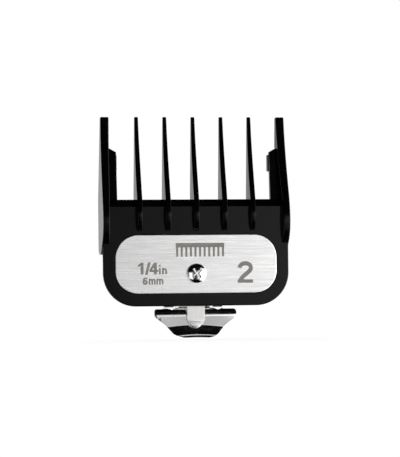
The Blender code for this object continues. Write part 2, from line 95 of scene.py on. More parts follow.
class Slot(Enum):
    """The record's material slots."""

    NYLON = "black_nylon"
    BRUSHED = "brushed_steel"
    POLISHED = "polished_steel"
    SPRING = "spring_steel"


class Run(Enum):
    """The axis that a prism runs along."""

    ACROSS = "x"
    THROUGH = "y"


# Shader maths -------------------------------------------------------------------------------


@dataclass
class Signal:
    """One output socket, so that shader maths reads as Python."""

    board: "Board"
    socket: bpy.types.NodeSocket

    def _maths(self, operation: str, *values: Number) -> "Signal":
        """Adds one Math node and returns its value."""
        return self.board.node("ShaderNodeMath", {"operation": operation}, dict(enumerate(values)))

    def __add__(self, other: Number) -> "Signal":
        """self + other."""
        return self._maths("ADD", self, other)

    def __radd__(self, other: Number) -> "Signal":
        """other + self."""
        return self._maths("ADD", other, self)

    def __sub__(self, other: Number) -> "Signal":
        """self - other."""
        return self._maths("SUBTRACT", self, other)

    def __rsub__(self, other: Number) -> "Signal":
        """other - self."""
        return self._maths("SUBTRACT", other, self)

    def __mul__(self, other: Number) -> "Signal":
        """self * other."""
        return self._maths("MULTIPLY", self, other)

    def stretch(self, low: float, high: float, to_low: float = 0.0, to_high: float = 1.0) -> "Signal":
        """Maps low..high smoothly onto another range, held at its ends.

        Args:
            low: Value that gives to_low.
            high: Value that gives to_high.
            to_low: Start of the new range.
            to_high: End of the new range.

        Returns:
            The mapped value.
        """
        settings = {"interpolation_type": "SMOOTHSTEP"}
        values = {"Value": self, "From Min": low, "From Max": high, "To Min": to_low, "To Max": to_high}
        return self.board.node("ShaderNodeMapRange", settings, values)


@dataclass
class Board:
    """A node tree that a shader is laid out on."""

    tree: bpy.types.NodeTree

    def node(self, kind: str, settings: dict[str, Any], values: dict[Any, Any], out: Any = 0) -> Signal:
        """Adds one node.

        Args:
            kind: The node's type.
            settings: Its properties, set before its sockets.
            values: A number, colour or Signal for each input, by name or place.
            out: Name or place of the output to return.

        Returns:
            The chosen output.
        """
        made = self.tree.nodes.new(kind)
        for name, setting in settings.items():
            setattr(made, name, setting)
        for key, value in values.items():
            if isinstance(value, Signal):
                self.tree.links.new(value.socket, made.inputs[key])
            else:
                made.inputs[key].default_value = value
        return Signal(self, made.outputs[out])

    def grain(self, place: Signal, scale: Sequence[float], size: float, detail: float = 2.0) -> Signal:
        """Noise on scaled coordinates.

        Args:
            place: The coordinates.
            scale: How much each axis is stretched before the noise.
            size: The noise's scale.
            detail: Its octaves.

        Returns:
            A value from 0 to 1.
        """
        mapped = self.node("ShaderNodeMapping", {}, {"Vector": place, "Scale": scale})
        return self.node("ShaderNodeTexNoise", {}, {"Vector": mapped, "Scale": size, "Detail": detail})

    def blend(self, share: Number, low: Any, high: Any) -> Signal:
        """Mixes two colours.

        Args:
            share: 0 gives low and 1 gives high.
            low: First colour.
            high: Second colour.

        Returns:
            The mixed colour.
        """
        return self.node("ShaderNodeMix", {"data_type": "RGBA"}, {0: share, 6: low, 7: high}, 2)

    def bump(self, height: Number, strength: float, distance: float) -> Signal:
        """A bumped normal.

        Args:
            height: The relief.
            strength: How strongly it shows.
            distance: Its depth in metres.

        Returns:
            The normal.
        """
        values = {"Height": height, "Strength": strength, "Distance": distance}
        return self.node("ShaderNodeBump", {}, values)


def grey(value: float, warmth: float = 0.0) -> tuple[float, float, float, float]:
    """A grey, made warmer by a positive warmth, as linear red, green, blue and alpha."""
    return (value * (1 + warmth), value, value * (1 - warmth), 1.0)


@dataclass(frozen=True)
class Finish:
    """What every finish has: a name and the way to its material."""

    name: str

    def material(self) -> bpy.types.Material:
        """Makes the material, or returns the one already made."""
        known = bpy.data.materials.get(self.name)
        if known:
            return known
        material = bpy.data.materials.new(self.name)
        material.use_nodes = True
        board = Board(material.node_tree)
        shader = material.node_tree.nodes["Principled BSDF"]
        place = board.node("ShaderNodeTexCoord", {}, {}, "Object")
        for socket, value in self.looks(board, place).items():
            if isinstance(value, Signal):
                material.node_tree.links.new(value.socket, shader.inputs[socket])
            else:
                shader.inputs[socket].default_value = value
        return material

    def looks(self, board: Board, place: Signal) -> dict[str, Any]:
        """The shader's inputs.

        Args:
            board: The material's node tree.
            place: Object coordinates.

        Returns:
            A number, colour or Signal for each input that is set.
        """
        raise NotImplementedError


@dataclass(frozen=True)
class BlackNylon(Finish):
    """Glass-filled nylon, glossy from the mould, with faint flow marks and handling scuffs."""

    colour: float = 0.0012
    roughness: float = 0.16

    def looks(self, board: Board, place: Signal) -> dict[str, Any]:
        """See Finish.looks."""
        flow = board.grain(place, (1, 1, 0.35), 160, 3)
        pebble = board.grain(place, (1, 1, 1), 4200, 2)
        scuff = board.grain(place, (1, 1, 6), 260, 4).stretch(0.56, 0.78)
        colour = board.blend(flow.stretch(0.3, 0.7), grey(self.colour * 0.8), grey(self.colour * 1.3))
        rough = self.roughness + flow * 0.06 + scuff * 0.10 - 0.03
        relief = pebble * 0.5 + flow * 0.5
        return {
            "Base Color": board.blend(scuff * 0.25, colour, grey(0.005)),
            "Roughness": rough,
            "Specular IOR Level": 0.15,
            "Normal": board.bump(relief, 0.12, 0.00004),
        }


@dataclass(frozen=True)
class BrushedSteel(Finish):
    """Stainless sheet brushed along the plate's width."""

    colour: float = 0.88
    roughness: float = 0.22

    def looks(self, board: Board, place: Signal) -> dict[str, Any]:
        """See Finish.looks."""
        fine = board.grain(place, (0.02, 1, 1), 9000, 3)
        broad = board.grain(place, (0.012, 1, 1), 2600, 2)
        cloud = board.grain(place, (1, 1, 1), 90, 2)
        streak = fine * 0.65 + broad * 0.35
        shade = streak.stretch(0.25, 0.75, 0.0, 1.0)
        colour = board.blend(shade, grey(self.colour * 0.84, 0.004), grey(self.colour * 1.1, 0.002))
        return {
            "Base Color": colour,
            "Metallic": 1.0,
            "Roughness": self.roughness + (1 - shade) * 0.10 + cloud * 0.05,
            "Normal": board.bump(streak, 0.35, 0.00002),
        }


@dataclass(frozen=True)
class PolishedSteel(Finish):
    """Bright plated steel with faint smudges and hairline scratches."""

    colour: float = 0.86
    roughness: float = 0.10

    def looks(self, board: Board, place: Signal) -> dict[str, Any]:
        """See Finish.looks."""
        smudge = board.grain(place, (1, 1, 1), 240, 3).stretch(0.42, 0.70)
        hair = board.grain(place, (0.05, 1, 1), 5200, 2).stretch(0.55, 0.75)
        colour = board.blend(smudge * 0.4, grey(self.colour, 0.006), grey(self.colour * 0.88, 0.01))
        return {
            "Base Color": colour,
            "Metallic": 1.0,
            "Roughness": self.roughness + smudge * 0.06 + hair * 0.05,
            "Normal": board.bump(hair, 0.08, 0.00001),
        }


@dataclass(frozen=True)
class SatinSpringSteel(Finish):
    """Rolled spring strip with a satin face, its grain along the strip."""

    colour: float = 0.86
    roughness: float = 0.26

    def looks(self, board: Board, place: Signal) -> dict[str, Any]:
        """See Finish.looks."""
        grain = board.grain(place, (1, 1, 0.03), 7000, 3)
        cloud = board.grain(place, (1, 1, 1), 200, 2)
        dark, pale = grey(self.colour * 0.88, 0.012), grey(self.colour, 0.01)
        colour = board.blend(grain.stretch(0.3, 0.7), dark, pale)
        return {
            "Base Color": colour,
            "Metallic": 1.0,
            "Roughness": self.roughness + grain * 0.08 + cloud * 0.06,
            "Normal": board.bump(grain, 0.15, 0.00001),
        }


@dataclass(frozen=True)
class LaserMark(Finish):
    """Oxide left on steel by a marking laser: warm grey and matt."""

    colour: float = 0.245

    def looks(self, board: Board, place: Signal) -> dict[str, Any]:
        """See Finish.looks."""
        grain = board.grain(place, (0.05, 1, 1), 6000, 3)
        pits = board.grain(place, (1, 1, 1), 5000, 2)
        dark, pale = grey(self.colour * 0.85, 0.07), grey(self.colour * 1.2, 0.06)
        colour = board.blend(grain.stretch(0.3, 0.7), dark, pale)
        return {
            "Base Color": colour,
            "Metallic": 0.35,
            "Roughness": 0.5 + pits * 0.15,
            "Normal": board.bump(pits, 0.2, 0.00001),
        }


@dataclass(frozen=True)
class PaleFloor(Finish):
    """A pale studio table that glows a little, so that shadows on it stay faint."""

    def looks(self, board: Board, place: Signal) -> dict[str, Any]:
        """See Finish.looks."""
        mottle = board.grain(place, (1, 1, 1), 30, 2)
        return {
            "Base Color": board.blend(mottle, grey(0.34), grey(0.36)),
            "Roughness": 0.9,
            "Specular IOR Level": 0.0,
            "Emission Color": grey(0.86),
            "Emission Strength": 1.0,
        }


BLACK_NYLON = BlackNylon("moulded_black_nylon")
BRUSHED_STEEL = BrushedSteel("brushed_stainless_sheet")
POLISHED_STEEL = PolishedSteel("polished_plated_steel")
SPRING_STEEL = SatinSpringSteel("satin_spring_strip")
LASER_MARK = LaserMark("laser_oxide_mark")
PALE_FLOOR = PaleFloor("pale_table")


# Outlines, in millimetres -------------------------------------------------------------------


def arc(centre: Point2, radius: float, start: float, end: float, steps: int = 16) -> Outline:
    """Points on a circle.

    Args:
        centre: Its centre.
        radius: Its radius.
        start: First angle, in degrees.
        end: Last angle, in degrees.
        steps: Number of stretches.

    Returns:
        The points, both ends included.
    """
    angles = [radians(start + (end - start) * i / steps) for i in range(steps + 1)]
    return [(centre[0] + radius * cos(a), centre[1] + radius * sin(a)) for a in angles]


def bezier(points: Sequence[Point2], steps: int = 16) -> Outline:
    """Points on one cubic Bezier stretch.

    Args:
        points: Start, two handles and end.
        steps: Number of stretches.

    Returns:
        The points, both ends included.
    """
    flat = [Vector((*point, 0)) for point in points]
    return [(p.x, p.y) for p in interpolate_bezier(*flat, steps + 1)]


def mirrored(right: Outline) -> Outline:
    """A closed outline from its right half, which starts and ends on or beside the centre line."""
    left = [(-x, z) for x, z in reversed(right) if abs(x) > 1e-6]
    return right + left


def rounded_rectangle(width: float, low: float, high: float, bottom: float, top: float) -> Outline:
    """A rectangle on the centre line.

    Args:
        width: Its width.
        low: Height of its lower edge.
        high: Height of its upper edge.
        bottom: Radius of the lower corners.
        top: Radius of the upper corners, or 0.

    Returns:
        The closed outline.
    """
    half = width / 2
    right = arc((half - bottom, low + bottom), bottom, -90, 0, 20)
    right += arc((half - top, high - top), top, 0, 90, 20) if top else [(half, high)]
    return mirrored(right)


def thickened(centre_line: Outline, thickness: float) -> Outline:
    """The closed outline of a strip of sheet that follows a centre line.

    Args:
        centre_line: The line from one end to the other.
        thickness: The sheet's thickness.

    Returns:
        One side and then the other, reversed.
    """
    points = [Vector(point) for point in centre_line]
    sides: tuple[Outline, Outline] = ([], [])
    for i, point in enumerate(points):
        before = (point - points[i - 1]).normalized() if i else None
        after = (points[i + 1] - point).normalized() if i + 1 < len(points) else None
        along = ((before or after) + (after or before)).normalized()
        normal = Vector((-along.y, along.x))
        mitre = thickness / 2 / max(0.5, along.dot(after or before))
        sides[0].append(tuple(point + normal * mitre))
        sides[1].append(tuple(point - normal * mitre))
    return sides[0] + sides[1][::-1]


# Solids -------------------------------------------------------------------------------------


def block(x: Point2, height: Point2) -> Outline:
    """An upright rectangle."""
    return [(x[0], height[0]), (x[1], height[0]), (x[1], height[1]), (x[0], height[1])]


def linked(name: str, mesh: bpy.types.Mesh) -> Piece:
    """Puts a mesh in the scene as a new object at the origin."""
    obj = bpy.data.objects.new(name, mesh)
    bpy.context.scene.collection.objects.link(obj)
    return obj


def from_bmesh(name: str, shape: bmesh.types.BMesh) -> Piece:
    """Turns a bmesh, which is then freed, into an object whose faces point outwards."""
    bmesh.ops.remove_doubles(shape, verts=shape.verts, dist=0.002 * MM)
    bmesh.ops.recalc_face_normals(shape, faces=shape.faces)
    mesh = bpy.data.meshes.new(name)
    shape.to_mesh(mesh)
    shape.free()
    return linked(name, mesh)


def prism(name: str, outline: Outline, run: Run, ends: tuple[float, float]) -> Piece:
    """A flat outline, run straight between two planes.

    Args:
        name: The object's name.
        outline: Points (y, height) across, or (x, height) through.
        run: The axis that it runs along.
        ends: Where it starts and stops on that axis.

    Returns:
        The solid.
    """
    shape = bmesh.new()
    rings = []
    for end in sorted(ends):
        places = [
            (end, u, v + BOTTOM) if run is Run.ACROSS else (u, end, v + BOTTOM) for u, v in outline
        ]
        rings.append([shape.verts.new(Vector(place) * MM) for place in places])
    for ring in rings:
        shape.faces.new(ring)
    count = len(outline)
    for i in range(count):
        j = (i + 1) % count
        shape.faces.new((rings[0][i], rings[0][j], rings[1][j], rings[1][i]))
    return from_bmesh(name, shape)


def box(name: str, x: Point2, y: Point2, height: Point2) -> Piece:
    """A cutter between two values of x, of y and of height."""
    return prism(name, block(x, height), Run.THROUGH, y)


def rod(name: str, radius: float, ends: Point2, centre: Point2, run: Run, sides: int = 64) -> Piece:
    """A cylinder.

    Args:
        name: The object's name.
        radius: Its radius.
        ends: Where it starts and stops along its axis.
        centre: (y, height) across, or (x, height) through.
        run: The axis that it runs along.
        sides: Number of sides.

    Returns:
        The solid.
    """
    return prism(name, arc(centre, radius, 0, 360 * (1 - 1 / sides), sides - 1), run, ends)


def settle(obj: Piece) -> Piece:
    """Turns an object's modifiers into plain mesh."""
    graph = bpy.context.evaluated_depsgraph_get()
    mesh = bpy.data.meshes.new_from_object(obj.evaluated_get(graph))
    obj.modifiers.clear()
    obj.data = mesh
    return obj


def combine(target: Piece, tools: Sequence[Piece], operation: str) -> Piece:
    """Runs Booleans and removes the tools.

    Args:
        target: The solid that is changed.
        tools: The solids that change it, in order.
        operation: UNION, DIFFERENCE or INTERSECT.

    Returns:
        The target.
    """
    for tool in tools:
        step = target.modifiers.new(tool.name, "BOOLEAN")
        step.operation = operation
        step.solver = "EXACT"
        step.object = tool
    settle(target)
    for tool in tools:
        bpy.data.objects.remove(tool)
    return target


def rounded(obj: Piece, width: float, segments: int = 3, angle: float = 35) -> Piece:
    """Rounds the edges of a solid that turn by more than an angle.

    Args:
        obj: The solid.
        width: The rounding, in millimetres.
        segments: Number of faces round each edge.
        angle: Smallest turn that is rounded, in degrees.

    Returns:
        The solid.
    """
    bevel = obj.modifiers.new("edge_round", "BEVEL")
    bevel.width = width * MM
    bevel.segments = segments
    bevel.limit_method = "ANGLE"
    bevel.angle_limit = radians(angle)
    bevel.miter_outer = "MITER_ARC"
    return settle(obj)


def reshape(obj: Piece, move: Callable[[Vector], Vector]) -> Piece:
    """Moves each vertex by a rule on millimetres.

    Args:
        obj: The solid.
        move: The rule, from (x, y, height) to the same.

    Returns:
        The solid.
    """
    lift = Vector((0, 0, BOTTOM))
    for vertex in obj.data.vertices:
        vertex.co = (move(vertex.co / MM - lift) + lift) * MM
    return obj


def repeated(obj: Piece, count: int, pitch: float, finish: Finish) -> Piece:
    """Sets copies of a solid in a centred row along X with a Geometry Nodes tree.

    Args:
        obj: The solid, centred on x = 0.
        count: Number of copies.
        pitch: Distance between them, in millimetres.
        finish: Their finish.

    Returns:
        The row, as plain mesh.
    """
    tree = bpy.data.node_groups.new(f"row_of_{obj.name}", "GeometryNodeTree")
    kinds = {"Geometry": "Geometry", "Count": "Int", "Pitch": "Float", "Finish": "Material"}
    sockets = {
        name: tree.interface.new_socket(name, in_out="INPUT", socket_type=f"NodeSocket{kind}")
        for name, kind in kinds.items()
    }
    tree.interface.new_socket("Geometry", in_out="OUTPUT", socket_type="NodeSocketGeometry")
    board = Board(tree)
    start = tree.nodes.new("NodeGroupInput")
    given = {name: Signal(board, start.outputs[name]) for name in sockets}
    first = (given["Count"] - 1) * given["Pitch"] * -0.5
    origin = board.node("ShaderNodeCombineXYZ", {}, {"X": first})
    step = board.node("ShaderNodeCombineXYZ", {}, {"X": given["Pitch"]})
    spacing = {"Count": given["Count"], "Start Location": origin, "Offset": step}
    line = board.node("GeometryNodeMeshLine", {"mode": "OFFSET"}, spacing)
    placed = {"Points": line, "Instance": given["Geometry"]}
    copies = board.node("GeometryNodeInstanceOnPoints", {}, placed)
    real = board.node("GeometryNodeRealizeInstances", {}, {"Geometry": copies})
    dressed = board.node("GeometryNodeSetMaterial", {}, {"Geometry": real, "Material": given["Finish"]})
    end = tree.nodes.new("NodeGroupOutput")
    tree.links.new(dressed.socket, end.inputs[0])
    row = obj.modifiers.new("row", "NODES")
    row.node_group = tree
    row[sockets["Count"].identifier] = count
    row[sockets["Pitch"].identifier] = pitch * MM
    row[sockets["Finish"].identifier] = finish.material()
    return settle(obj)


def finished(
    obj: Piece, finish: Finish, body: Optional[Body], replaces: Sequence[str] = ()
) -> Piece:
    """Dresses a finished piece and fastens it to the frame.

    Args:
        obj: The piece.
        finish: Its finish.
        body: The body that it rides on, or None to leave it unfastened.
        replaces: CAD nodes that it stands for.

    Returns:
        The piece.
    """
    obj.data.materials.clear()
    obj.data.materials.append(finish.material())
    obj.data.shade_smooth()
    obj.data.set_sharp_from_angle(angle=radians(SHARP_ANGLE))
    weigh = obj.modifiers.new("weighted_normals", "WEIGHTED_NORMAL")
    weigh.keep_sharp = True
    weigh.weight = 60
    settle(obj)
    if body:
        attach(obj, body.value)
    if replaces:
        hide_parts(*replaces)
    log.info("%s: %d faces", obj.name, len(obj.data.polygons))
    return obj


# Moulded body -------------------------------------------------------------------------------


@dataclass
class MouldedBody:
    """The black nylon comb: plate, teeth, side walls, ledges, lugs and hinge ears."""

    width: float = 48.7
    plate_height: float = 27.5
    thickness: float = 4.2
    corner: float = 8.6
    top_bevel: float = 1.9
    draft: float = 0.55
    edge_round: float = 0.35
    seat_low_edge: float = 7.6
    seat_step: float = 0.5
    teeth: int = 5
    tooth_length: float = 21.4
    tooth_depth: float = 6.4
    tooth_setback: float = 0.3
    tip_depth: float = 1.1
    tip_thickness: float = 0.95
    nose_thickness: float = 1.3
    root_thickness: float = 1.7
    nose_end: float = 8.4
    wall_width: float = 2.25
    wall_taper: float = 0.45
    wall_draft: float = 0.3
    wall_extra: float = 0.4
    wall_nose_end: float = 11.7
    proud: float = 0.1
    cheek_thickness: float = 1.35
    cheek_depth: float = 2.6
    cheek_low_end: float = 14.1
    cheek_chamfer: float = 1.1
    cheek_tip: float = 0.3
    ledge_width: float = 2.1
    ledge_height: float = 13.5
    ledge_chamfer: float = 1.2
    ledge_thickness: float = 1.6
    ledge_lean: float = 0.12
    lug_low: float = 6.8
    lug_height: float = 5.4
    lug_depth: float = 1.5
    lug_proud: float = 0.25
    channel: Point2 = (12.0, 2.2)
    channel_top: float = 16.0
    relief: Point2 = (22.4, 1.3)
    relief_wall: float = 1.2
    ear: Point2 = (5.2, 2.4)
    ear_radius: float = 1.85
    recess: tuple[float, float, float, float] = (42.4, 3.1, 18.5, 6.0)
    recess_floor: float = -3.45
    outer_face: float = field(init=False)
    pitch: float = field(init=False)
    tip_height: float = field(init=False)

    def __post_init__(self) -> None:
        """Works out the sizes that follow from others."""
        self.outer_face = self.width / 2 + self.proud
        self.pitch = (self.outer_face - self.wall_width) / 3
        self.tip_height = self.plate_height + self.tooth_length

    def front_edge(self, depth: float, nose_end: float) -> Outline:
        """The front of a tooth from its tip to where its nose meets the plate."""
        low = self.plate_height - nose_end
        shoulder = (-0.83 * depth, self.plate_height + 0.02 * self.tooth_length)
        sweep = [
            (-self.tip_depth, self.tip_height - self.tip_depth / 2),
            (-self.tip_depth - 0.08 * depth, self.plate_height + 0.63 * self.tooth_length),
            (-0.53 * depth, self.plate_height + 0.32 * self.tooth_length),
            shoulder,
        ]
        nose = [
            shoulder,
            (-0.97 * depth, self.plate_height - 0.3 * nose_end),
            (-1.16 * depth, low + 0.31 * nose_end),
            (-self.thickness + self.edge_round, low),
        ]
        return bezier(sweep, 20)[:-1] + bezier(nose, 24)

    def tooth_thickness(self, point: Vector) -> float:
        """Thinnest at the tip, thicker towards the nose and thickest along the rear."""
        rise = min(1.0, max(0.0, (point.z - self.plate_height) / self.tooth_length))
        back = min(1.0, max(0.0, 1 + point.y / self.tooth_depth))
        low = self.nose_thickness + (self.root_thickness - self.nose_thickness) * back
        return low + (self.tip_thickness - low) * rise

    def tooth_row(self) -> Piece:
        """The inner teeth, one shape repeated."""
        low = self.plate_height - self.nose_end
        rear = -self.tooth_setback
        outline = [(rear, low)] + [(rear, low + (self.tip_height - 0.2 - low) * i / 6) for i in range(1, 7)]
        outline += [(rear - 0.2, self.tip_height), (-self.tip_depth + 0.2, self.tip_height)]
        outline += self.front_edge(self.tooth_depth, self.nose_end)
        tooth = prism("inner_teeth", outline, Run.ACROSS, (-0.5, 0.5))
        reshape(tooth, lambda p: Vector((p.x * self.tooth_thickness(p), p.y, p.z)))
        rounded(tooth, self.tip_thickness * 0.32, 4)
        return repeated(tooth, self.teeth, self.pitch, BLACK_NYLON)

    def side_wall(self, side: int) -> Piece:
        """An outer tooth and the cheek behind it, thinned where it holds the blade."""
        low = self.plate_height - self.cheek_low_end
        outline = self.front_edge(self.tooth_depth + self.wall_extra, self.wall_nose_end)
        outline += [
            (-self.thickness / 2, low),
            (self.cheek_depth - self.cheek_chamfer, low),
            (self.cheek_depth, low + self.cheek_chamfer),
            (self.cheek_depth, self.plate_height),
            (self.cheek_tip, self.tip_height - 0.4),
            (self.cheek_tip - 0.4, self.tip_height),
            (-self.tip_depth + 0.2, self.tip_height),
        ]
        wall = prism(f"side_wall_{side}", outline, Run.ACROSS, (0, 1))

        def drafted(point: Vector) -> Vector:
            """Leans the outer face in and narrows the wall towards its nose."""
            rise = max(0.0, point.z - self.plate_height) / self.tooth_length
            width = self.wall_width + self.wall_taper * point.y / self.tooth_depth
            inward = self.wall_draft * rise + (width if point.x > 0.5 else 0)
            return Vector((side * (self.outer_face - inward), point.y, point.z))

        reshape(wall, drafted)
        if side > 0:
            wall.data.flip_normals()
        rounded(wall, self.edge_round, 4)
        inner = side * (self.outer_face - self.cheek_thickness)
        high = self.plate_height + self.ledge_height
        pocket = box("blade_pocket", tuple(sorted((0, inner))), (0, FAR), (-FAR, high))
        return combine(wall, [pocket], "DIFFERENCE")

    def ledge(self, side: int) -> Piece:
        """The leaning slab inside an outer tooth, in front of the blade's corner."""
        outside = self.outer_face - self.wall_width / 2
        inside = self.outer_face - self.wall_width - self.ledge_width
        top = self.plate_height + self.ledge_height
        low = self.plate_height - self.top_bevel
        outline = [
            (side * outside, low),
            (side * outside, top),
            (side * (self.outer_face - self.wall_width), top),
            (side * inside, top - self.ledge_chamfer),
            (side * inside, low),
        ]
        front = -self.thickness + self.top_bevel - 0.1
        slab = prism(f"ledge_{side}", outline, Run.THROUGH, (front, front + self.ledge_thickness))
        rounded(slab, 0.16, 2)

        def leaned(point: Vector) -> Vector:
            """Leans the slab back without passing the blade seat."""
            back = point.y + self.ledge_lean * max(0.0, point.z - self.plate_height)
            return Vector((point.x, min(back, -0.05), point.z))

        return reshape(slab, leaned)

    def corner_lug(self, side: int) -> Piece:
        """The small stop that centres the blade's toothed corner."""
        outer = self.outer_face - self.cheek_thickness / 2
        inner = self.outer_face - self.wall_width - self.ledge_width - self.lug_proud
        low = self.plate_height + self.lug_low
        high = low + self.lug_height
        outline = [
            (side * outer, low - 0.6),
            (side * inner, low + 0.6),
            (side * inner, high - 0.6),
            (side * outer, high + 0.6),
        ]
        lug = prism(f"lug_{side}", outline, Run.THROUGH, (-0.2, self.lug_depth))
        return rounded(lug, 0.2, 2)

    def hinge_ear(self, side: int) -> Piece:
        """A moulded ear that holds one end of the pin, with a gusset up the plate."""
        rise = self.seat_low_edge - 2 * self.seat_step
        outline = [(-self.thickness / 2, self.relief[1])]
        outline += arc(PIN_CENTRE, self.ear_radius, -125, 60, 28)
        outline += [(-self.seat_step, rise), (-self.thickness / 2, rise)]
        edges = (side * self.ear[0], side * (self.ear[0] + self.ear[1]))
        return prism(f"ear_{side}", outline, Run.ACROSS, edges)

    def plate(self) -> Piece:
        """The back plate with its bevel, recess, spring channel and lever relief."""
        outline = rounded_rectangle(self.width, 0, self.plate_height, self.corner, 0)
        plate = prism("moulded_body", outline, Run.THROUGH, (-self.thickness, 0))
        share = 2 * self.draft / self.width
        reshape(plate, lambda p: Vector((p.x * (1 - share * (1 + p.y / self.thickness)), p.y, p.z)))
        rounded(plate, self.edge_round)
        front = -self.thickness - 1
        slope = [
            (front, self.plate_height - self.top_bevel - 1),
            (-self.thickness + self.top_bevel + 1, self.plate_height + 1),
            (front, self.plate_height + 1),
        ]
        half = self.width / 2 + 1
        width, low, high, radius = self.recess
        inset = rounded_rectangle(width, low, high, radius, radius)
        channel, depth = self.channel
        relief, rise = self.relief
        wall = -self.thickness + self.relief_wall
        cutters = [
            prism("top_bevel", slope, Run.ACROSS, (-FAR, FAR)),
            box("seat_step", (-half, half), (-self.seat_step, FAR), (-1, self.seat_low_edge)),
            prism("label_recess", inset, Run.THROUGH, (-FAR, self.recess_floor)),
            box("spring_channel", (-channel / 2, channel / 2), (-depth, FAR), (-FAR, self.channel_top)),
            box("lever_relief", (-relief / 2, relief / 2), (wall, FAR), (-FAR, rise)),
            rod("screw_hole", SCREW_BORE, (-FAR, FAR), (0, SCREW_HEIGHT), Run.THROUGH),
        ]
        return combine(plate, cutters, "DIFFERENCE")

    def build(self) -> Piece:
        """Moulds the whole body as one solid and dresses it."""
        body = self.plate()
        parts = [self.tooth_row()]
        for side in (-1, 1):
            parts += [self.side_wall(side), self.ledge(side), self.corner_lug(side), self.hinge_ear(side)]
        combine(body, parts, "UNION")
        bore = rod("pin_bore", PIN_BORE, (-FAR, FAR), PIN_CENTRE, Run.ACROSS)
        combine(body, [bore], "DIFFERENCE")
        return finished(body, BLACK_NYLON, Body.FIXED, ["comb_body"])


# Size plate, screw and nut ------------------------------------------------------------------


